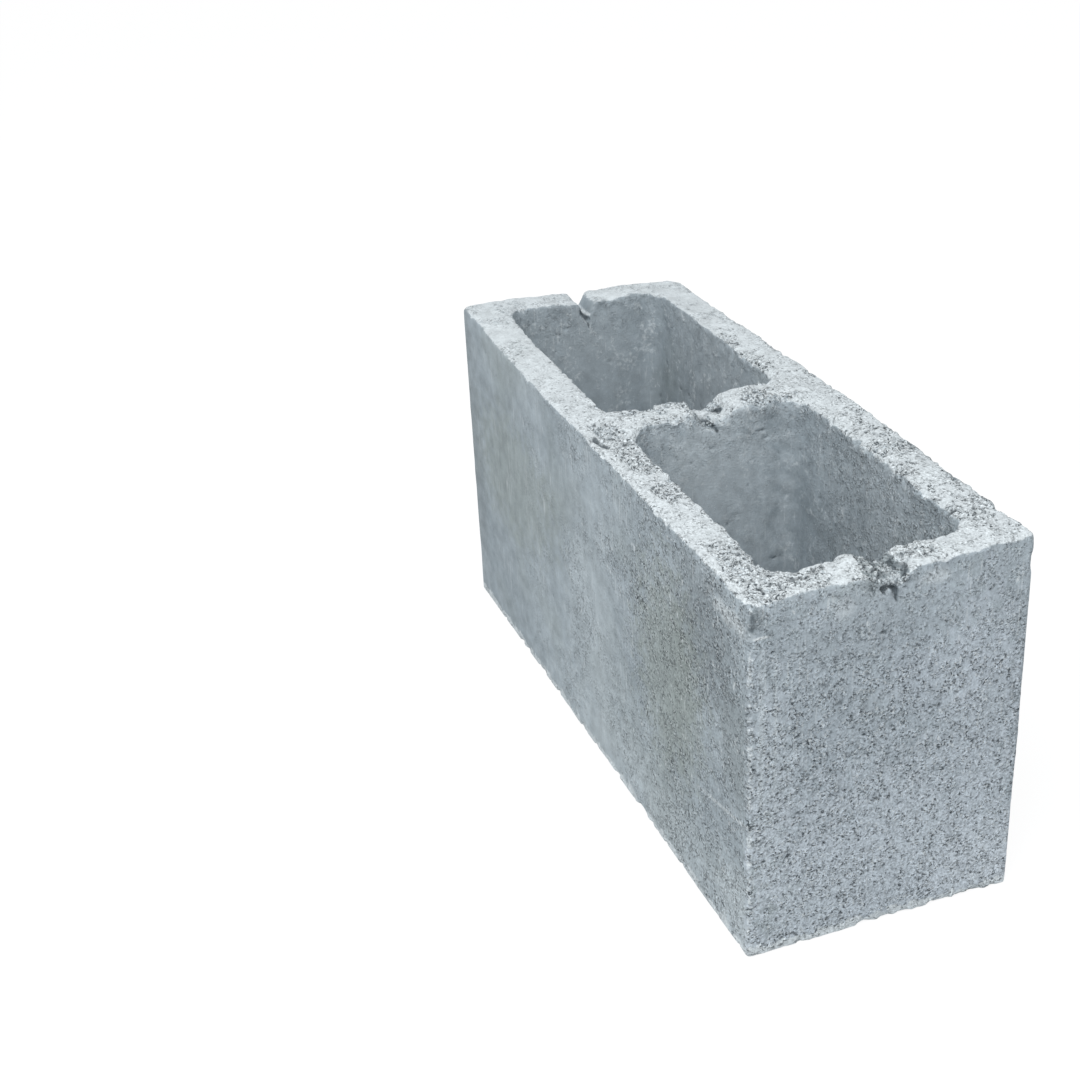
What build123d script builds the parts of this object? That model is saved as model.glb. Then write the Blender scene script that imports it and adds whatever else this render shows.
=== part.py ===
from build123d import *
from math import radians, tan
import os

# Hollow concrete block with two blind cells, cast upright in one piece in a vibrating press.
# Millimetres. Origin at the middle of the bottom face, X along the length, Y across the
# width, Z up. The cells open upwards, as the block leaves its mould.

# Overall size: the 400 x 150 x 200 module less a 10 mm joint each way
block_length = 390
block_width = 140
block_height = 190

# Walls at the rim, where they are thinnest, and the closed bottom of the cells
side_wall = 21.5
end_web = 20
centre_web = 22
cell_floor = 22
cell_count = 2

# The steel cores taper downwards, so that they draw out of the fresh concrete. Their corners
# are nearly sharp at the floor, and grow rounder up the wall.
core_draft = 2.8
floor_corner_radius = 0.3

# Chamfer round the bottom of each core, left as a bank at the foot of the cell's walls
foot_bank_width = 3.5
foot_bank_height = 6

# Outer edges: vertical arrises from the mould box, worn rim, and the edge on the pallet
arris_radius = 2.5
rim_round = 1.6
base_chamfer = 1

# Notches left in the tops of the webs by the bar that carries the cores, which lay a little
# askew to the middle: its ends were off it by this much, each to its own side. The far notch
# kept its V, the near one broke out wide, and the centre one was nearly filled again.
core_bar_skew = 2.5
far_notch_width = 12
far_notch_bed = 2.5
far_notch_depth = 9
far_notch_shoulder = 5
centre_notch_width = 20
centre_notch_bed = 8
centre_notch_depth = 5
centre_notch_shoulder = 5
near_notch_width = 22
near_notch_bed = 8
near_notch_depth = 8
near_notch_shoulder = 5
cut_clearance = 1

cell_length = (block_length - 2 * end_web - (cell_count - 1) * centre_web) / cell_count
cell_width = block_width - 2 * side_wall
cell_pitch = cell_length + centre_web
cell_depth = block_height - cell_floor
end_x = (block_length - end_web) / 2
mouth_radius = floor_corner_radius + foot_bank_width + cell_depth * tan(radians(core_draft))


def notch_section(start_x, width, bed, depth, shoulder):
    """Flat-bottomed V with rounded shoulders, in the plane across the block at start_x."""
    brow = width / 2 + 2 * shoulder
    with BuildSketch(Plane.YZ.offset(start_x)) as section:
        with BuildLine():
            Polyline(
                (-brow, block_height),
                (-width / 2, block_height),
                (-bed / 2, block_height - depth),
                (bed / 2, block_height - depth),
                (width / 2, block_height),
                (brow, block_height),
                (brow, block_height + cut_clearance),
                (-brow, block_height + cut_clearance),
                close=True,
            )
        make_face()
        fillet(section.vertices().group_by(Axis.Y)[0], bed / 3)
        rim_corners = section.vertices().group_by(Axis.Y)[-2]
        fillet(rim_corners.filter_by(lambda v: abs(v.X) < (width + shoulder) / 2), shoulder)
    return section.sketch


def cut_core_bar_notch(web_x, web, width, bed, depth, shoulder):
    """Cut the bar's notch right through a web that is thicker below its rim."""
    reach = web / 2 + depth * tan(radians(core_draft)) + cut_clearance
    section = notch_section(web_x - reach, width, bed, depth, shoulder)
    section = section.moved(Location((0, -core_bar_skew * web_x / end_x, 0)))
    extrude(section, amount=2 * reach, mode=Mode.SUBTRACT)


with BuildPart() as block:
    with BuildSketch():
        RectangleRounded(block_length, block_width, arris_radius)
    extrude(amount=block_height)

    # Blind cells, one for each core, and the bank left round their floors
    with BuildSketch(Plane.XY.offset(block_height)):
        with GridLocations(cell_pitch, 1, cell_count, 1):
            RectangleRounded(cell_length, cell_width, mouth_radius)
    extrude(amount=-cell_depth, taper=core_draft, mode=Mode.SUBTRACT)
    floors = block.faces().filter_by(Axis.Z).sort_by(Axis.Z)[1:-1]
    chamfer(floors.edges(), foot_bank_height, foot_bank_width)

    # The rim is rubbed round, outside and at the cells' mouths
    fillet(block.faces().sort_by(Axis.Z)[-1].edges(), rim_round)
    chamfer(block.faces().sort_by(Axis.Z)[0].edges(), base_chamfer)

    # One bar lay along all the webs
    cut_core_bar_notch(
        -end_x, end_web, far_notch_width, far_notch_bed, far_notch_depth, far_notch_shoulder
    )
    for number in range(1, cell_count):
        cut_core_bar_notch(
            (number - cell_count / 2) * cell_pitch,
            centre_web,
            centre_notch_width,
            centre_notch_bed,
            centre_notch_depth,
            centre_notch_shoulder,
        )
    cut_core_bar_notch(
        end_x, end_web, near_notch_width, near_notch_bed, near_notch_depth, near_notch_shoulder
    )

block.part.label = "block"
os.makedirs("parts", exist_ok=True)
export_step(block.part, "parts/block.step")
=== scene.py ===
import random
from math import radians, tau

import bmesh
import bpy
import numpy as np
from mathutils import Euler, Matrix, Vector, noise


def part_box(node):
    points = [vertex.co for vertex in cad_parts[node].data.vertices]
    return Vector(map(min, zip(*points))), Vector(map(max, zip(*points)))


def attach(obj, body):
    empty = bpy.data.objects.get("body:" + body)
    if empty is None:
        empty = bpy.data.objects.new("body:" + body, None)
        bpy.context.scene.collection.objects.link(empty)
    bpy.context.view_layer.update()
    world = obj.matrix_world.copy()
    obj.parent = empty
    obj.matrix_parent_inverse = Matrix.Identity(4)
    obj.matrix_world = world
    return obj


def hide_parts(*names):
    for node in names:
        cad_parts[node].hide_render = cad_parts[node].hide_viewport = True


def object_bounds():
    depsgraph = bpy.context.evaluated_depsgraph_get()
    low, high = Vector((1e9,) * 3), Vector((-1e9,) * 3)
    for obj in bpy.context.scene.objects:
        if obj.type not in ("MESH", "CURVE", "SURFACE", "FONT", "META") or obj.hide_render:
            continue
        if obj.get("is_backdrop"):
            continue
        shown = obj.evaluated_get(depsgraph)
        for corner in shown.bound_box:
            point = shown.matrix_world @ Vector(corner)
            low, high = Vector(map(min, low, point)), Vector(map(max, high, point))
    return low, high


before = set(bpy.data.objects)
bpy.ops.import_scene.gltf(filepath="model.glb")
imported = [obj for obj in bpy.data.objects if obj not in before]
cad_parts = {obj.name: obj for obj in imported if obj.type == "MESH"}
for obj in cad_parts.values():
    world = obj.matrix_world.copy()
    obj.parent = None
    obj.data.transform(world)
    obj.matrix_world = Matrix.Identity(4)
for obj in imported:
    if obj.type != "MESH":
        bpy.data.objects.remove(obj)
cad_low, cad_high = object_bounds()


# The block is one piece of dry-cast concrete: sand, fine stone and little water, pressed upright in
# a steel mould on a shaking table and stripped while it was green. Steel left its sides and cells
# smooth. The ram left the rim raw, and the core bar tore its notches through the webs.
mm = 0.001

# Half the length, half the width and the height, in millimetres, as all sizes of the block here are
end_x, side_y, rim_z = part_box("block")[1] / mm

# The cells' mouths, their middles' distance from the block's, and their floors' height
mouth_length = 164
mouth_width = 97
mouth_radius = 12
cell_place = 93
floor_z = 22

# The skin is rebuilt from small cubes, then thinned where it is flat
skin_grain = 0.9
skin_triangles = 190000

# How far down the raw rim's marks reach, and how far up the crumbled base's do
rim_depth = 18
base_height = 8


def ramp(value, start, end):
    """0 before start and 1 after end, with a smooth rise between. With start above end it falls."""
    share = np.clip((value - start) / (end - start), 0, 1)
    return share * share * (3 - 2 * share)


def bumps(points, size, shift=0):
    """A smooth random height from about -1 to 1 at each point, with bumps about as wide as size."""
    places = points / size + shift
    return np.array([noise.noise(place) for place in places.tolist()])


def grains(points, size, shift=0):
    """How far each point lies from the middle of the nearest grain, in grain sizes."""
    places = points / size + shift
    return np.array([noise.voronoi(place)[0][0] for place in places.tolist()])


def outside_mouths(points):
    """How far each point lies outside the nearer cell's mouth, seen from above."""
    along = np.abs(np.abs(points[:, 0]) - cell_place) - (mouth_length / 2 - mouth_radius)
    across = np.abs(points[:, 1]) - (mouth_width / 2 - mouth_radius)
    beyond = np.hypot(np.maximum(along, 0), np.maximum(across, 0))
    within = np.minimum(np.maximum(along, across), 0)
    return beyond + within - mouth_radius


def inside_block(points):
    """How far each point lies inside the block's outline, seen from above."""
    return np.minimum(end_x - np.abs(points[:, 0]), side_y - np.abs(points[:, 1]))


def near_notch(points):
    """1 inside the notch torn through the near web and 0 outside it."""
    across = 1 - ramp(np.abs(points[:, 1] + 3), 8, 12)
    return across * ramp(points[:, 0], 168, 172) * ramp(points[:, 2], rim_z - 10, rim_z - 8)


def off_line(points, start, end, into):
    """How far each point lies from the line between two others. Depth along into counts a quarter."""
    along = np.subtract(end, start)
    away = points - start
    away -= np.clip(away @ along / (along @ along), 0, 1)[:, None] * along
    away -= 0.75 * (away @ into)[:, None] * into
    return np.linalg.norm(away, axis=1)


def off_centre(points, centre, reach):
    """How far each point lies from a centre, in shares of the reach along each axis given."""
    axes = len(centre)
    return np.linalg.norm((points[:, :axes] - centre) / reach, axis=1)


def add_lump(shape, place, radii, ragged=0.3, detail=3):
    """One irregular lump: a ball knocked out of round, then squeezed to its three radii."""
    ball = bmesh.ops.create_icosphere(shape, subdivisions=detail, radius=1)["verts"]
    shift = Vector([random.uniform(0, 50) for axis in range(3)])
    for corner in ball:
        dent = noise.noise(corner.co * 1.3 + shift) + 0.5 * noise.noise(corner.co * 3 + shift)
        corner.co *= 1 + ragged * dent
    squeeze = Matrix.Diagonal((*radii, 1))
    bmesh.ops.transform(shape, matrix=Matrix.Translation(place) @ squeeze, verts=ball)


def add_crack(shape, start, end, into, width, depth):
    """A ragged crack from start to end: thin lumps in a row, sunk in along the direction into."""
    start, end, into = Vector(start), Vector(end), Vector(into)
    along = (end - start).normalized()
    sideways = (end - start).cross(into).normalized()
    spacing = 2.5
    half_length = 2.2
    steps = max(2, round((end - start).length / spacing))
    for step in range(steps + 1):
        place = start.lerp(end, step / steps)
        place += sideways * random.uniform(-0.6, 0.6)
        reach = [abs(a) * depth + abs(b) * half_length + abs(c) * width / 2
                 for a, b, c in zip(into, along, sideways)]
        add_lump(shape, place, reach, 0.4, 2)


def solid_of(name, shape):
    """A scratch object with a shape's lumps joined up into one skin, in metres."""
    mesh = bpy.data.meshes.new(name)
    bmesh.ops.scale(shape, vec=(mm, mm, mm), verts=shape.verts)
    shape.to_mesh(mesh)
    shape.free()
    solid = bpy.data.objects.new(name, mesh)
    bpy.context.scene.collection.objects.link(solid)
    solid.modifiers.new("skin", "REMESH").voxel_size = skin_grain * mm
    bake(solid)
    return solid


def bake(piece):
    """Applies a piece's modifiers, so that its mesh is what they make of it."""
    seen = piece.evaluated_get(bpy.context.evaluated_depsgraph_get())
    baked = bpy.data.meshes.new_from_object(seen)
    piece.modifiers.clear()
    piece.data = baked


random.seed(9)

# What broke out of the block: its top corners first, then the long sides' top edges
broken = bmesh.new()
add_lump(broken, (end_x + 2, -side_y - 2, rim_z + 3), (9, 7, 7))
add_lump(broken, (-end_x - 2, -side_y - 2, rim_z + 2), (6, 6, 5), 0.1)
add_lump(broken, (-end_x - 3, side_y + 3, rim_z + 3), (12, 12, 8), 0.1)
add_lump(broken, (end_x + 2, side_y + 2, rim_z + 2), (6, 5, 5))
for place_x in (11, 79, 116, 166):
    add_lump(broken, (place_x, side_y + 1, rim_z + 1), (7, 3, 3))
for place_x in (-96, 14, 30, 88, 140):
    add_lump(broken, (place_x, -side_y - 0.6, rim_z + 1), (5, 1.6, 2))

# The bottom edges of the near end and of the front side, and a bite out of the right arris
for place_y, drop in ((-6, 2), (12, 3), (30, 3), (44, 3), (52, 5)):
    add_lump(broken, (end_x + 1, place_y, -0.5), (3.5, 6, drop))
add_lump(broken, (69, -side_y - 1, -1), (8, 3.5, 5))
add_lump(broken, (end_x + 0.5, side_y + 0.5, 178), (3, 3, 6))

# Nicks all along the two arrises of the near end
for height in (8, 17, 31, 44, 58, 63, 79, 96, 112, 117, 121, 129, 136, 141, 146, 154, 161, 169):
    place = (end_x, -side_y, height + random.uniform(-1, 1))
    add_lump(broken, place, (2.6, 2.6, 1.6), 0.5, 2)
for height in (12, 26, 52, 71, 90, 104, 138, 152, 164):
    place = (end_x + 0.8, side_y + 0.8, height + random.uniform(-2, 2))
    add_lump(broken, place, (2.4, 2.4, 2.6), 0.5, 2)

# Nicks all along the front side's top and bottom edges
for place_x in range(-180, 190, 13):
    size = random.uniform(1.2, 3)
    place_x += random.uniform(-5, 5)
    place = (place_x, -side_y - 0.3, rim_z + 0.5)
    add_lump(broken, place, (1.8 * size, 0.9 * size, 0.9 * size), 0.5, 2)
    place_x += random.uniform(-5, 5)
    place = (place_x, -side_y - 0.6, -0.6)
    add_lump(broken, place, (1.8 * size, 0.6 * size, 0.6 * size), 0.5, 2)
add_lump(broken, (72, 47, rim_z), (4, 3, 4))

# Deep holes, each with its centre and its reach
holes = (
    ((-11, -27, rim_z - 2), (3.5, 2.5, 4)),
    ((181.4, 3.8, rim_z - 2), (1.6, 1.8, 3)),
    ((182, 9.5, rim_z + 1), (1.2, 2, 1.4)),
    ((end_x, -69, 178.5), (2.4, 1.5, 1.5)),
    ((end_x + 1, -69, 184), (2, 2, 2.6)),
    ((end_x, -5, 162), (1.2, 1.8, 1.2)),
    ((end_x, -34, 142), (1.2, 1.6, 1)),
    ((end_x, -26, 131), (1.2, 2.2, 1)),
    ((end_x + 1, side_y + 0.5, 182), (2.4, 2.4, 3)),
)
for centre, reach in holes:
    add_lump(broken, centre, reach, 0.4, 2)

# Cracks at the notches, and one along the front side's top edge: where each starts and ends,
# the way it is sunk in, and its width and depth
cracks = (
    ((end_x, -2, 184.5), (end_x, 0.4, 181), (1, 0, 0), 1.6, 3),
    ((end_x, 0.4, 181), (end_x, 1, 176.5), (1, 0, 0), 1, 3),
    ((end_x, 1, 185), (end_x, 6, 189.5), (1, 0, 0), 1.8, 3),
    ((175, -3, 184), (176, -2, 168), (1, 0, 0), 1.8, 3),
    ((-176, -0.5, 183.5), (-175.5, 2, 179), (1, 0, 0), 2, 3),
    ((-175.5, 2, 179), (-174, 3, 174), (1, 0, 0), 0.9, 1.6),
    ((-6, 4.5, 188), (0, 7.5, 189), (0, 0, 1), 1.8, 3),
    ((10, -7.5, 189), (11.5, -0.4, 184.5), (1, 0, 0), 2, 3),
    ((11.5, -0.4, 184.5), (11.5, 1.5, 181.5), (1, 0, 0), 1.4, 2),
    ((9, -66, rim_z), (21, -64, rim_z), (0, 0, 1), 1.8, 2.5),
)
for crack in cracks:
    add_crack(broken, *crack)
chips = solid_of("broken_out", broken)

# What stands proud of it: lumps at the torn notches
proud = bmesh.new()
add_lump(proud, (180, -15, rim_z - 2), (10, 8.5, 4.5), 0.2)
add_lump(proud, (182, -24, rim_z - 2), (10, 8, 3.2), 0.2)
add_lump(proud, (183.5, -7, rim_z - 4), (10.5, 8, 4.2), 0.15)
add_lump(proud, (185, 0, rim_z - 7), (9.5, 8, 3.4), 0.2)
add_lump(proud, (178, 8.5, rim_z - 2.5), (5, 5, 3.6))
add_lump(proud, (192, 8.5, rim_z - 2), (2.6, 4, 2.4))
add_lump(proud, (-1, -2, rim_z - 5), (11.5, 8.5, 3), 0.15)
fillings = solid_of("standing_proud", proud)

block = bpy.data.objects.new("pressed_block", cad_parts["block"].data.copy())
bpy.context.scene.collection.objects.link(block)
shape = bmesh.new()
shape.from_mesh(block.data)
bmesh.ops.remove_doubles(shape, verts=shape.verts, dist=0.001 * mm)
shape.to_mesh(block.data)
shape.free()
for other, operation in ((fillings, "UNION"), (chips, "DIFFERENCE")):
    joint = block.modifiers.new(other.name, "BOOLEAN")
    joint.operation = operation
    joint.object = other
    joint.solver = "MANIFOLD"
block.modifiers.new("skin", "REMESH").voxel_size = skin_grain * mm
bake(block)
for other in (chips, fillings):
    bpy.data.objects.remove(other)

# Where each point of the skin lies, and which way it faces. Each gets a move, and three shares that
# the material reads: how much it is pale paste, how much painted shade its pits, hollows, cracks and
# gaps get, and how much it is coarse open grain.
count = len(block.data.vertices)
points = np.empty(count * 3)
facing = np.empty(count * 3)
block.data.vertices.foreach_get("co", points)
block.data.vertices.foreach_get("normal", facing)
points = points.reshape(-1, 3) / mm
facing = facing.reshape(-1, 3)
x, y, z = points.T
beyond_mouth = outside_mouths(points)
move = np.zeros_like(points)
paste = np.zeros(count)
painted_hollow_shade = np.zeros(count)
coarse = np.zeros(count)

# The rim: its mouths' edges wander, its height wavers, and grains lie bare between skins of paste.
# The marks are bolder towards the near end, where the photo is sharp.
near = z > rim_z - rim_depth
rim_points = points[near]
crown = ramp(z[near], rim_z - 9, rim_z - 1)
level = ramp(facing[near, 2], 0.35, 0.8)
mouth_edge = 1 - ramp(beyond_mouth[near], 0.5, 5)
outer_edge = 1 - ramp(inside_block(rim_points), 0.5, 4)
nearness = 0.2 + 0.8 * ramp(x[near], -150, 20)
loose = (0.5 + 0.5 * nearness) * (1 - outer_edge * 0.4 * ramp(y[near], 0, -side_y))
for axis in (0, 1):
    sway = 1.2 * bumps(rim_points, 12, 20 * axis) + 1.1 * bumps(rim_points, 4.5, 40 + 20 * axis)
    move[near, axis] += crown * loose * sway
lift = 0.7 * bumps(rim_points, 30, 5) + 0.5 * bumps(rim_points, 10, 7)

# The centre web has a hill on each side of its notch, and an edge worn down towards the near cell
on_web = 1 - ramp(np.abs(x[near] + 1), 10, 18)
hills = ramp(y[near], 14, 22) * (1 - ramp(y[near], 26, 40))
hills += ramp(y[near], -22, -14) * (1 - ramp(y[near], -13, -6))
worn_edge = on_web * ramp(x[near], 5, 9) * ramp(np.abs(y[near]), 44, 36)
lift += on_web * hills - 0.6 * worn_edge

# The ram came down uneven, so the webs and parts of the rim stand higher or lower: broad swells,
# each with its centre, its reach and its rise
swell = np.maximum(2.8 * on_web, 1.8 * ramp(x[near], 166, 178))
swell *= ramp(np.abs(y[near] - 2), 7, 11) * (1 - ramp(np.abs(y[near]), 48, 64))
for centre, reach, rise in (
    ((-195, -70), (80, 85), 3.4),
    ((-195, 78), (130, 45), -3),
    ((100, 70), (190, 35), 3),
    ((200, 60), (40, 50), 1),
):
    swell += rise * (1 - ramp(off_centre(rim_points, centre, reach), 0.3, 1))
crumbled = ramp(bumps(rim_points, 7, 90), 0, 0.45) * np.maximum(mouth_edge, 0.5 * outer_edge)

# Skins of paste and bare grain lie in patches. Each place named here is pushed one way: to paste
# above 0, and to bare grain below it.
patch = bumps(rim_points, 19, 3) + 0.6 * bumps(rim_points, 7, 11)
for centre, reach, push in (
    ((18, -56), (20, 8), -1.3),
    ((45, -55), (17, 8), -1.3),
    ((80, -57), (11, 9), -1.2),
    ((160, -57), (24, 11), -1.3),
    ((187, -59), (9, 9), -1.2),
    ((185, -38), (9, 16), -0.7),
    ((-60, -60), (60, 14), 0.8),
    ((62, -60), (8, 12), 1),
    ((115, -60), (22, 12), 1),
    ((60, -67), (130, 4), 0.8),
    ((0, 60), (24, 12), 0.8),
    ((181, -20), (12, 8), 1.2),
    ((186, 40), (12, 14), 0.7),
):
    patch += push * (1 - ramp(off_centre(rim_points, centre, reach), 0.6, 1.1))
patch += 0.35 * bumps(rim_points, 3.5, 15)
skinned = ramp(patch, -0.25, 0.1)
bare = level * np.maximum(1 - skinned, 0.4 * worn_edge) * nearness
sand = grains(rim_points, 2.4)
hollows = ramp(bumps(rim_points, 2.6, 31), -0.15, -0.5)
move[near, 2] += level * lift + crown * swell - 2.0 * loose * crown * crumbled
grit = (0.35 - sand) * 1.6 * (0.05 + 0.95 * bare) - 1.3 * hollows * (0.05 + 0.95 * bare)
move[near] += facing[near] * (np.maximum(level, 0.5 * crown) * grit)[:, None]
paste[near] = level * (0.5 + 0.3 * skinned) * (1 - 0.3 * worn_edge) * (1 - 0.2 * on_web)
# Painted shade in the bare hollows of the rim
painted_hollow_shade[near] = 0.85 * bare * hollows
rim_grain = level * (0.05 + 0.25 * nearness + 0.65 * bare)
coarse[near] = np.maximum(rim_grain, 0.3 * crown * nearness)

# The ends: voids where the dry mix didn't close against the steel, more of them further down
ends = (np.abs(facing[:, 0]) > 0.6) & (np.abs(x) > end_x - 3)
end_points = points[ends]
low_down = 1 - ramp(z[ends], 100, 170)
flat_voids = end_points * (1, 1, 1.7)
openness = bumps(flat_voids, 3, 3) + 0.6 * bumps(flat_voids, 1.7, 13)
openness += 0.4 * bumps(end_points, 16, 17) + 0.22 * low_down
voids = ramp(openness, 0.95, 1.1)
pebbles = (0.5 - grains(end_points, 5, 27)) * (0.3 + 0.7 * low_down)
waver = 0.25 * bumps(end_points, 30) + 0.4 * pebbles
move[ends] += facing[ends] * (waver - 1.4 * voids)[:, None]
# Painted shade in the voids
painted_hollow_shade[ends] = np.maximum(painted_hollow_shade[ends], 0.75 * voids)
coarse[ends] = np.maximum(coarse[ends], 0.3 + 0.4 * low_down)

# The long sides: smoother, with shallow waves, a few pits and patches of open grain. The front
# side's far half is calmer.
sides = (np.abs(facing[:, 1]) > 0.6) & (np.abs(y) > side_y - 3)
side_points = points[sides]
side_pits = np.clip(1 - grains(side_points, 11, 23) / 0.08, 0, 1)
waver = 0.3 * bumps(side_points, 35) + 0.12 * bumps(side_points, 9)
move[sides] += facing[sides] * (waver - 0.7 * np.sqrt(side_pits))[:, None]
# Painted shade in the pits
painted_hollow_shade[sides] = np.maximum(painted_hollow_shade[sides], 0.45 * np.sqrt(side_pits))
open_grain = ramp(bumps(side_points, 30, 41) + 0.5 * bumps(side_points, 9, 43), -0.3, 0.35)
rougher = np.maximum(ramp(x[sides], -150, 20), y[sides] > 0)
grain_here = 0.06 + 0.24 * open_grain * rougher + 0.28 * ramp(x[sides], 0, 120)
coarse[sides] = np.maximum(coarse[sides], grain_here)

# The cells' walls: drag marks from the cores, smeared near the mouths
walls = (beyond_mouth < 1) & (z > floor_z + 8) & (np.abs(facing[:, 2]) < 0.5)
wall_points = points[walls]
smeared = ramp(z[walls], rim_z - 45, rim_z - 5)
drag = bumps(wall_points * (1, 1, 0.15), 6, 9)
smears = bumps(wall_points * (1, 1, 0.6), 7, 19) + 0.6 * bumps(wall_points, 3, 29)
gouges = ramp(bumps(wall_points * (1, 1, 1.8), 4, 33) + 0.5 * bumps(wall_points, 1.8, 35), 0.62, 0.9)
dents = 0.15 * drag + (0.15 + 0.45 * smeared) * smears - 0.7 * gouges
move[walls] += facing[walls] * dents[:, None]
# Painted shade in the gouges
painted_hollow_shade[walls] = np.maximum(painted_hollow_shade[walls], 0.25 * gouges)
coarse[walls] = np.maximum(coarse[walls], 0.04 + 0.2 * ramp(x[walls], 0, 80) + 0.1 * smeared)
paste[walls] = np.maximum(paste[walls], 0.12 + 0.2 * ramp(smears, -0.1, 0.6))

# The cells' floors: uneven, under the crumbs
floors = (beyond_mouth < 1) & (z > 15) & (z < floor_z + 8)
floor_points = points[floors]
move[floors, 2] += 1.2 * bumps(floor_points, 9) + (0.4 - grains(floor_points, 3)) * 1.6
coarse[floors] = 0.6

# The near notch tore through the bare mix: lumps of it with gaps between, little paste, and painted
# shade in the gaps
torn = near_notch(points)
in_notch = torn > 0
notch_points = points[in_notch]
stones = grains(notch_points, 2.8, 61)
gaps = ramp(stones, 0.52, 0.74)
move[in_notch] += facing[in_notch] * (torn[in_notch] * (1 - 2.4 * stones))[:, None]
paste[in_notch] *= 1 - torn[in_notch] * (0.3 + 0.5 * gaps)
painted_hollow_shade[in_notch] = np.maximum(painted_hollow_shade[in_notch], 0.7 * torn[in_notch] * gaps)
coarse = np.maximum(coarse, 0.7 * torn)

# Holes and cracks get painted shade
for centre, reach in holes:
    painted_hollow_shade = np.maximum(painted_hollow_shade, 0.8 * (1 - ramp(off_centre(points, centre, reach), 0.9, 1.2)))
for start, end, into, width, depth in cracks:
    distance = off_line(points, start, end, np.array(into))
    painted_hollow_shade = np.maximum(painted_hollow_shade, 0.9 * (1 - ramp(distance, 0.5 * width, width)))

# The bottom edges crumbled on the pallet, and have a pale ragged fringe
base = z < base_height
base_points = points[base]
skirt = (1 - ramp(z[base], 1, 7)) * ramp(inside_block(base_points), 6, 0)
crumbs_lost = 1.1 * skirt * ramp(bumps(base_points, 6, 71), 0, 0.5)
move[base] -= facing[base] * crumbs_lost[:, None]
fringe = ramp(bumps(base_points, 4, 73) + 2 - z[base] / 3.5, 0.4, 0.8)
fringe *= ramp(inside_block(base_points), 5, 1)
paste[base] = np.maximum(paste[base], 0.75 * fringe)
coarse[base] = np.maximum(coarse[base], 0.5 * skirt) * (1 - 0.5 * fringe)

# Paste dried pale along the near arris, with breaks in it
arris = 1 - ramp(off_centre(points, (end_x, -side_y), (1, 1)), 1.5, 3.2)
on_arris = (arris > 0) & (z < rim_z - 8)
strip = ramp(bumps(points[on_arris] * (1, 1, 0.4), 4, 81), -0.4, 0.1)
paste[on_arris] = np.maximum(paste[on_arris], 0.36 * arris[on_arris] * strip)

points = (points + move) * mm
block.data.vertices.foreach_set("co", points.ravel())
# The shares go to the material; the one for pits, hollows, cracks and gaps holds painted shade
for name, values in (("paste", paste), ("painted_hollow_shade", painted_hollow_shade), ("coarse", coarse)):
    layer = block.data.attributes.new(name, "FLOAT", "POINT")
    layer.data.foreach_set("value", values)
thinning = block.modifiers.new("thinning", "DECIMATE")
thinning.ratio = min(1, skin_triangles / (2 * len(block.data.polygons)))
bake(block)
block.data.polygons.foreach_set("use_smooth", [True] * len(block.data.polygons))


def colour(code):
    """A colour from its sRGB hex code, in the linear values that Blender works in."""
    shares = [int(code[start:start + 2], 16) / 255 for start in (1, 3, 5)]
    return (*(s / 12.92 if s <= 0.04045 else ((s + 0.055) / 1.055) ** 2.4 for s in shares), 1)


def add(tree, kind, inputs=None, **settings):
    """One shader node with its settings. An input takes a value, a socket, or a node's live output."""
    made = tree.nodes.new("ShaderNode" + kind)
    for name, value in settings.items():
        setattr(made, name, value)
    for name, value in (inputs or {}).items():
        if isinstance(value, bpy.types.Node):
            value = next(socket for socket in value.outputs if socket.enabled)
        if isinstance(value, bpy.types.NodeSocket):
            tree.links.new(value, made.inputs[name])
        else:
            made.inputs[name].default_value = value
    return made


# Concrete, dry cast and pressed: dull, a cool mid grey, mottled by damp and cement, with sand
# grains that show as fine speckle, and painted shade in its pores, pits and cracks. Paste dries paler
# than the rest.
# A MapRange takes its value from the span of inputs 1 and 2 to that of 3 and 4, which are 0 and 1
# if they aren't given. A Mix of colours goes from its input 6 to its input 7.
concrete = bpy.data.materials.new("dry_cast_concrete")
concrete.use_nodes = True
tree = concrete.node_tree
tree.nodes.clear()
place = add(tree, "TexCoord").outputs["Object"]
paste_share = add(tree, "Attribute", attribute_name="paste").outputs["Fac"]
painted_hollow_shade_share = add(tree, "Attribute", attribute_name="painted_hollow_shade").outputs["Fac"]
coarse_share = add(tree, "Attribute", attribute_name="coarse").outputs["Fac"]


def pattern(size, detail, roughness, stretch=(1, 1, 1)):
    """Noise with bumps about size millimetres wide, drawn out along the axes with a small stretch."""
    drawn = add(tree, "Mapping", {"Vector": place, "Scale": stretch})
    inputs = {"Vector": drawn, "Scale": 1 / (size * mm), "Detail": detail, "Roughness": roughness}
    return add(tree, "TexNoise", inputs).outputs["Fac"]


def spot(centre, reach, strength):
    """A soft ragged patch round a point of the block, as far each way as reach, in millimetres: a
    mark, or painted light and shade.
    """
    shrink = Vector([1 / (r * mm) for r in reach])
    offset = Vector([-c / r for c, r in zip(centre, reach)])
    nearer = add(tree, "Mapping", {"Vector": place, "Scale": shrink, "Location": offset})
    distance = add(tree, "VectorMath", {0: nearer}, operation="LENGTH")
    waver = add(tree, "MapRange", {0: pattern(7, 3, 0.6), 1: 0.2, 2: 0.8, 3: -0.5, 4: 0.5})
    ragged = add(tree, "Math", {0: distance, 1: waver}, operation="ADD")
    return add(tree, "MapRange", {0: ragged, 1: 0.5, 2: 1, 3: strength, 4: 0})


# Cement colour, mottled by damp, with a greener tinge here and there
damp = add(tree, "MapRange", {0: pattern(50, 4, 0.6), 1: 0.35, 2: 0.65})
body = add(tree, "Mix", {0: damp, 6: colour("#949fa6"), 7: colour("#a6b1b8")}, data_type="RGBA")
tinge = add(tree, "MapRange", {0: pattern(70, 2, 0.5), 1: 0.5, 2: 0.7, 3: 0, 4: 0.4})
body = add(tree, "Mix", {0: tinge, 6: body, 7: colour("#959e9c")}, data_type="RGBA")
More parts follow.
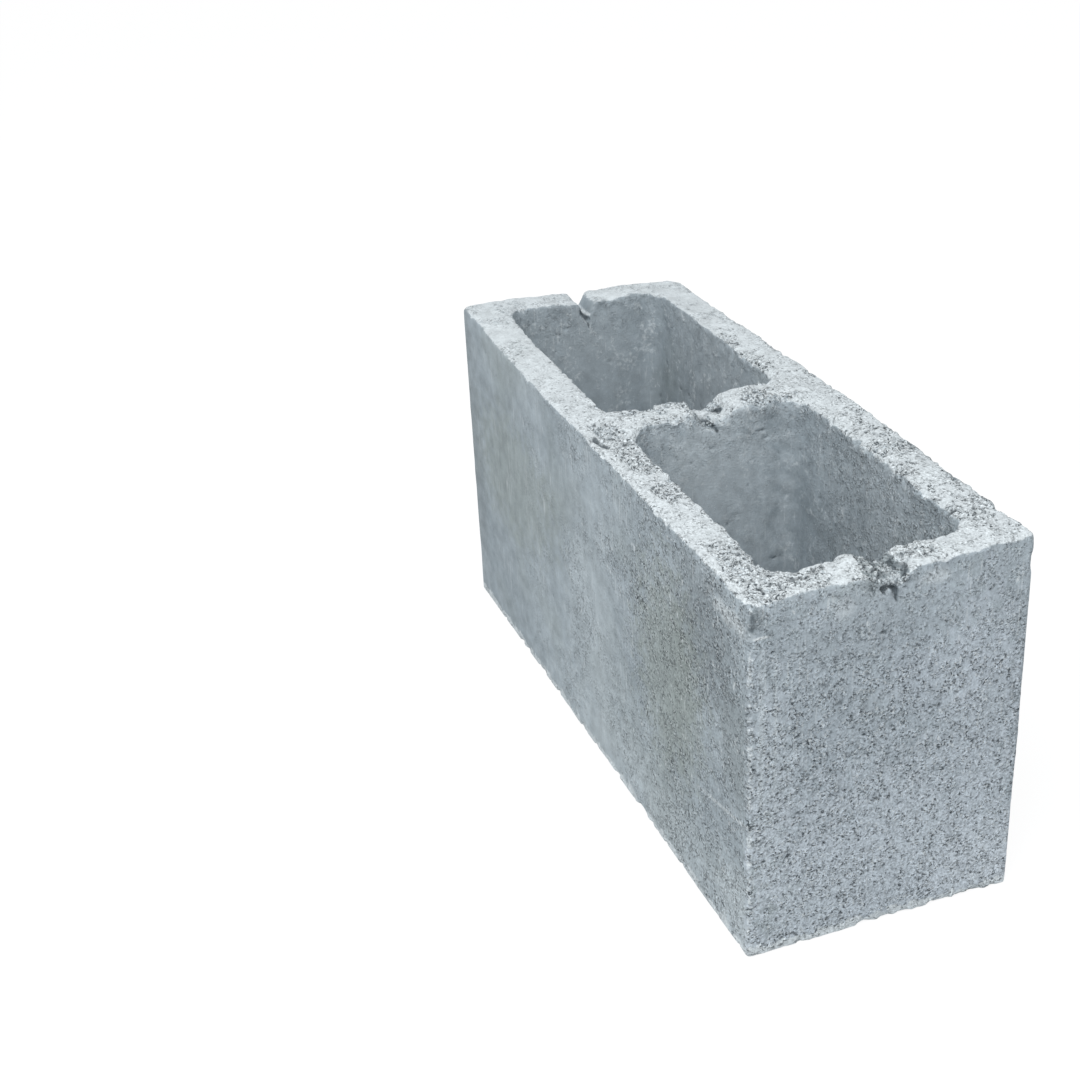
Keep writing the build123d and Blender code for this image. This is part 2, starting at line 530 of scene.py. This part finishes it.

# The marks of this block on its front side, its near end and the walls of its cells, with painted
# light
# and shade among them: paler low down, paler on the near end's right, a painted shadow in a chip,
# and the cells' walls painted paler
for centre, reach, shade, strength in (
    ((148, -70, 152), (40, 4, 46), "#788186", 0.6),
    ((108, -70, 108), (50, 4, 72), "#8f9894", 0.6),
    ((185, -70, 112), (26, 4, 40), "#868f92", 0.5),
    ((5, -70, 75), (48, 4, 95), "#b2bcc1", 0.42),
    ((-115, -70, 112), (85, 4, 48), "#8e9793", 0.45),
    # Painted light: the front side paler low down, as the floor's bounce would light it
    ((60, -70, 8), (170, 4, 42), "#b8c2c7", 0.45),
    ((188, -70, 18), (34, 4, 34), "#c3cdd3", 0.6),
    ((176, -70, 176), (24, 4, 6), "#c3cbcf", 0.7),
    ((-190, -70, 95), (22, 4, 110), "#858e93", 0.5),
    ((195, 19, 184), (4, 10, 5), "#ccd3d6", 0.5),
    ((195, -25, 178), (4, 7, 7), "#c3cbcf", 0.5),
    ((195, -20, 162), (4, 30, 14), "#8a9499", 0.55),
    # Painted light: the near end paler low down on its right side
    ((195, 48, 18), (6, 38, 34), "#d9e2e9", 0.75),
    ((195, -60, 90), (6, 14, 80), "#c3cdd4", 0.55),
    # Painted light: the near end paler over all, and more so towards its right side and low down
    ((195, 28, 132), (6, 44, 24), "#b8c2cb", 0.55),
    ((195, 0, 100), (6, 110, 130), "#a4aeb8", 0.4),
    ((195, 0, 20), (6, 110, 95), "#bcc6cf", 0.75),
    ((195, 48, 110), (6, 30, 80), "#b4bec7", 0.6),
    ((195, -63, 173.7), (3, 5, 1), "#d3dadd", 0.8),
    ((195, -64, 118), (2.5, 2, 60), "#bcc6cc", 0.5),
    ((195, -57, 128), (2.5, 0.8, 50), "#c3cdd2", 0.5),
    # Painted shadow in the chip at the top of the near arris
    ((195, -67, 184), (3, 5, 8), "#757e83", 0.6),
    # Painted light: the cells' walls paler, as more light inside the cells would make them
    ((12, 0, 125), (9, 60, 100), "#c3cdd3", 0.6),
    ((93, 50, 110), (80, 9, 120), "#b4bec4", 0.45),
    ((-93, 50, 110), (80, 9, 120), "#a9b3b9", 0.5),
    ((-175, 0, 110), (9, 60, 110), "#a9b3b9", 0.5),
):
    mark_and_painted_light = spot(centre, reach, strength)
    body = add(tree, "Mix", {0: mark_and_painted_light, 6: body, 7: colour(shade)}, data_type="RGBA")

# A pale line that rises across the front side to the near arris
line_start = Vector((135, 0, 62))
upwards = Vector((-13, 0, 59)).normalized()
height = add(tree, "VectorMath", {0: place, 1: upwards}, operation="DOT_PRODUCT")
height = add(tree, "Math", {0: height, 1: upwards.dot(line_start) * mm}, operation="SUBTRACT")
height = add(tree, "Math", {0: height}, operation="ABSOLUTE")
line = add(tree, "MapRange", {0: height, 1: 0.4 * mm, 2: 1.4 * mm, 3: 0.7, 4: 0})
mark_and_painted_light = spot((170, -70, 72), (40, 4, 30), 1)
line = add(tree, "Math", {0: line, 1: mark_and_painted_light}, operation="MULTIPLY")
body = add(tree, "Mix", {0: line, 6: body, 7: colour("#c3cbcf")}, data_type="RGBA")

# Paste, with a ragged edge
waver = add(tree, "MapRange", {0: pattern(2.5, 3, 0.7), 1: 0.3, 2: 0.7, 3: -0.22, 4: 0.22})
paste_share = add(tree, "Math", {0: paste_share, 1: waver}, operation="ADD")
paste_share = add(tree, "MapRange", {0: paste_share, 1: 0.25, 2: 0.5, 3: 0, 4: 0.9})
body = add(tree, "Mix", {0: paste_share, 6: body, 7: colour("#ced6da")}, data_type="RGBA")

# Smooth plates of cement a few millimetres wide, with open grain between them
zone = add(tree, "MapRange", {0: pattern(4.5, 3, 0.65), 1: 0.42, 2: 0.58})
all_open = add(tree, "MapRange", {0: coarse_share, 1: 0.62, 2: 1})
zone = add(tree, "Math", {0: zone, 1: all_open}, operation="MAXIMUM")
partly_open = add(tree, "MapRange", {0: coarse_share, 1: 0.05, 2: 0.5})
zone = add(tree, "Math", {0: zone, 1: partly_open}, operation="MULTIPLY")

# Light and dark sand grains. The finest sand wouldn't show, so the speckle is that of the coarser.
speckle = add(tree, "MapRange", {0: pattern(1.2, 2, 0.65), 1: 0.3, 2: 0.7, 3: -1, 4: 1})
in_zone = add(tree, "MapRange", {0: zone, 1: 0, 2: 1, 3: 0, 4: 0.5})
anywhere = add(tree, "MapRange", {0: coarse_share, 1: 0.05, 2: 0.35, 3: 0.02, 4: 0.2})
contrast = add(tree, "Math", {0: in_zone, 1: anywhere}, operation="ADD")
speckle = add(tree, "Math", {0: speckle, 1: contrast}, operation="MULTIPLY")

# Upright streaks where the steel slid past, and cloudy blotches on the smoother faces
streaks = pattern(1.4, 2, 0.6, (1, 1, 0.04))
streaks = add(tree, "MapRange", {0: streaks, 1: 0.3, 2: 0.7, 3: -1, 4: 1})
contrast = add(tree, "MapRange", {0: coarse_share, 1: 0.08, 2: 0.35, 3: 0.01, 4: 0.06})
streaks = add(tree, "Math", {0: streaks, 1: contrast}, operation="MULTIPLY")
blotches = add(tree, "MapRange", {0: pattern(8, 3, 0.6), 1: 0.3, 2: 0.7, 3: -1, 4: 1})
contrast = add(tree, "MapRange", {0: coarse_share, 1: 0.2, 2: 0.5, 3: 0.14, 4: 0.04})
blotches = add(tree, "Math", {0: blotches, 1: contrast}, operation="MULTIPLY")
light = add(tree, "Math", {0: streaks, 1: blotches}, operation="ADD")
light = add(tree, "Math", {0: light, 1: speckle}, operation="ADD")
light = add(tree, "Math", {0: light, 1: 1}, operation="ADD")
body = add(tree, "VectorMath", {0: body, 3: light}, operation="SCALE")

# Pale specks in the open grain, upright scratches in patches, and a few larger flecks
specks = pattern(1.4, 2, 0.6, (1.1, 1.1, 1.3))
specks = add(tree, "MapRange", {0: specks, 1: 0.56, 2: 0.63, 3: 0, 4: 0.8})
specks = add(tree, "Math", {0: specks, 1: zone}, operation="MULTIPLY")
scratches = pattern(1.1, 1, 0.5, (1, 1, 0.05))
scratches = add(tree, "MapRange", {0: scratches, 1: 0.64, 2: 0.7, 3: 0, 4: 0.4})
patches = add(tree, "MapRange", {0: pattern(25, 2, 0.5), 1: 0.45, 2: 0.6})
scratches = add(tree, "Math", {0: scratches, 1: patches}, operation="MULTIPLY")
flecks = pattern(3, 1, 0.5, (1, 1, 0.6))
flecks = add(tree, "MapRange", {0: flecks, 1: 0.7, 2: 0.76})
contrast = add(tree, "MapRange", {0: coarse_share, 1: 0.05, 2: 0.3, 3: 0, 4: 0.6})
flecks = add(tree, "Math", {0: flecks, 1: contrast}, operation="MULTIPLY")
pale = add(tree, "Math", {0: specks, 1: scratches}, operation="MAXIMUM")
pale = add(tree, "Math", {0: pale, 1: flecks}, operation="MAXIMUM")
body = add(tree, "Mix", {0: pale, 6: body, 7: colour("#d3dadd")}, data_type="RGBA")

# Painted shade: voids in the open grain, small and larger, and the pits, hollows, cracks and gaps of
# the mesh, all painted dark
voids = add(tree, "MapRange", {0: pattern(1.6, 2, 0.6, (1, 1, 1.5)), 1: 0.58, 2: 0.63})
large_voids = add(tree, "MapRange", {0: pattern(3, 3, 0.65, (1, 1, 1.6)), 1: 0.64, 2: 0.67})
voids = add(tree, "Math", {0: voids, 1: large_voids}, operation="MAXIMUM")
voids = add(tree, "Math", {0: voids, 1: zone}, operation="MULTIPLY")
painted_shade = add(tree, "Math", {0: voids, 1: 0.95}, operation="MULTIPLY")
painted_shade = add(tree, "Math", {0: painted_hollow_shade_share, 1: painted_shade}, operation="MAXIMUM")
body = add(tree, "Mix", {0: painted_shade, 6: body, 7: colour("#4a5359")}, data_type="RGBA")

# The finest relief: sand that stands out of the open grain, and the voids in it
contrast = add(tree, "MapRange", {0: zone, 1: 0, 2: 1, 3: 0.35, 4: 1.6})
fine = add(tree, "Math", {0: pattern(1.2, 3, 0.7), 1: contrast}, operation="MULTIPLY")
depth = add(tree, "Math", {0: voids, 1: 1.4}, operation="MULTIPLY")
height = add(tree, "Math", {0: fine, 1: depth}, operation="SUBTRACT")
relief = add(tree, "Bump", {"Height": height, "Strength": 1.0, "Distance": 0.8 * mm})
inputs = {"Base Color": body, "Roughness": 0.92, "Specular IOR Level": 0.3, "Normal": relief}
finish = add(tree, "BsdfPrincipled", inputs)
add(tree, "OutputMaterial", {"Surface": finish})
block.data.materials.clear()
block.data.materials.append(concrete)
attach(block, "root")
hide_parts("block")


# Crumbs of the same mix fell to the cells' floors as the cores drew out, and set there in a heap.
# More of them filled the torn notches again.
crumb_shapes = []
for number in range(9):
    lump = bmesh.new()
    add_lump(lump, (0, 0, 0), (1, 0.9, 0.75), 0.45, 1 + number % 3)
    mesh = bpy.data.meshes.new("crumb_shape")
    lump.to_mesh(mesh)
    lump.free()
    crumb_shapes.append(mesh)

heap = bmesh.new()


def drop_crumb(place, radius):
    """One crumb for the heap, turned any way, with more faces the larger it is."""
    detail = 0 if radius < 1.4 else 1 if radius < 3.6 else 2
    turn = Euler([random.uniform(0, tau) for axis in range(3)]).to_matrix().to_4x4()
    crumb = crumb_shapes[detail + 3 * random.randrange(3)].copy()
    crumb.transform(Matrix.Translation(place) @ turn @ Matrix.Scale(radius, 4))
    heap.from_mesh(crumb)
    bpy.data.meshes.remove(crumb)


# Over each cell's floor: most are a few millimetres across, and a few are stones
for side in (-1, 1):
    for number in range(1300):
        radius = 1 + 3.2 * random.random() ** 3.5
        place_x = side * cell_place + random.uniform(-71, 71)
        place_y = random.uniform(-37, 37)
        height = floor_z + 0.6 + random.uniform(0, 0.9 * radius)
        drop_crumb((place_x, place_y, height), radius)

# In the near notch, on the slope of its left side too, and in the centre one
for number in range(150):
    place_y = random.uniform(-10, 5)
    height = 184.5 + 0.35 * max(0, -2 - place_y) + random.uniform(-0.5, 1)
    drop_crumb((random.uniform(175, 193.8), place_y, height), random.uniform(0.6, 1.6))
for number in range(40):
    place = (random.uniform(-10, 10), random.uniform(-5, 5), random.uniform(184.5, 186))
    drop_crumb(place, random.uniform(0.5, 1.2))
bmesh.ops.scale(heap, vec=(mm, mm, mm), verts=heap.verts)
crumb_mesh = bpy.data.meshes.new("loose_crumbs")
heap.to_mesh(crumb_mesh)
heap.free()
for mesh in crumb_shapes:
    bpy.data.meshes.remove(mesh)
crumbs = bpy.data.objects.new("loose_crumbs", crumb_mesh)
bpy.context.scene.collection.objects.link(crumbs)
crumb_mesh.polygons.foreach_set("use_smooth", [True] * len(crumb_mesh.polygons))
crumb_mesh.materials.append(concrete)

# Crumbs in the notches are paler than those on the floors
mid_height = rim_z / 2 * mm
pale = [0.1 if corner.co.z < mid_height else 0.36 for corner in crumb_mesh.vertices]
for name, values in (("paste", pale), ("coarse", [0.7] * len(pale))):
    layer = crumb_mesh.attributes.new(name, "FLOAT", "POINT")
    layer.data.foreach_set("value", values)
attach(crumbs, "root")


# The studio: a wide pale floor and plain soft light. The floor looks white to the camera and still
# keeps the block's shadow.
bpy.ops.mesh.primitive_plane_add(size=12)
floor = bpy.context.object
floor.name = "studio_floor"
floor_paint = bpy.data.materials.new("white_backdrop_paint")
floor_paint.use_nodes = True


def sees_backdrop(tree):
    """1 or more for a ray that shows the backdrop: to the camera, in a mirror or through glass."""
    path = add(tree, "LightPath").outputs
    seen = add(tree, "Math", {0: path["Is Camera Ray"], 1: path["Is Glossy Ray"]}, operation="ADD")
    return add(tree, "Math", {0: seen, 1: path["Is Transmission Ray"]}, operation="ADD")


tree = floor_paint.node_tree
tree.nodes.clear()
share = add(tree, "Math", {0: sees_backdrop(tree), 1: 0.8}, operation="MULTIPLY", use_clamp=True)
matt = add(tree, "BsdfDiffuse", {"Color": colour("#d9dbdc")})
glow = add(tree, "Emission", {"Color": (1, 1, 1, 1), "Strength": 1.12})
mixed = add(tree, "MixShader", {0: share, 1: matt, 2: glow})
add(tree, "OutputMaterial", {"Surface": mixed})
floor.data.materials.append(floor_paint)
floor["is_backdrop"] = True

world = bpy.data.worlds.new("studio")
bpy.context.scene.world = world
world.use_nodes = True
tree = world.node_tree
tree.nodes.clear()
strength = add(tree, "MapRange", {0: sees_backdrop(tree), 3: 0.68, 4: 1.0})
sky = add(tree, "Background", {"Color": (1, 1, 1, 1), "Strength": strength})
add(tree, "OutputWorld", {"Surface": sky})

lamp = bpy.data.objects.new("overhead_softbox", bpy.data.lights.new("overhead_softbox", "AREA"))
bpy.context.scene.collection.objects.link(lamp)
lamp.data.size = 0.8
lamp.data.energy = 15
lamp.location = (0.67, -0.61, 1.4)
lamp.rotation_euler = (Vector((0, 0, 0.1)) - lamp.location).to_track_quat("-Z", "Y").to_euler()

# The camera stands where the photograph was taken from, above the near corner.
camera = bpy.data.objects.new("camera", bpy.data.cameras.new("camera"))
bpy.context.scene.collection.objects.link(camera)
camera.data.sensor_width = 36
camera.data.lens = 60.12
camera.location = (0.7853, -0.3591, 0.5728)
camera.rotation_euler = Euler((radians(62.072), radians(2.890), radians(69.872)), "XYZ")
bpy.context.scene.camera = camera
bpy.context.scene.view_settings.view_transform = "Standard"

low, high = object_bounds()
size = {"cad": [list(cad_low), list(cad_high)], "visual": [list(low), list(high)]}
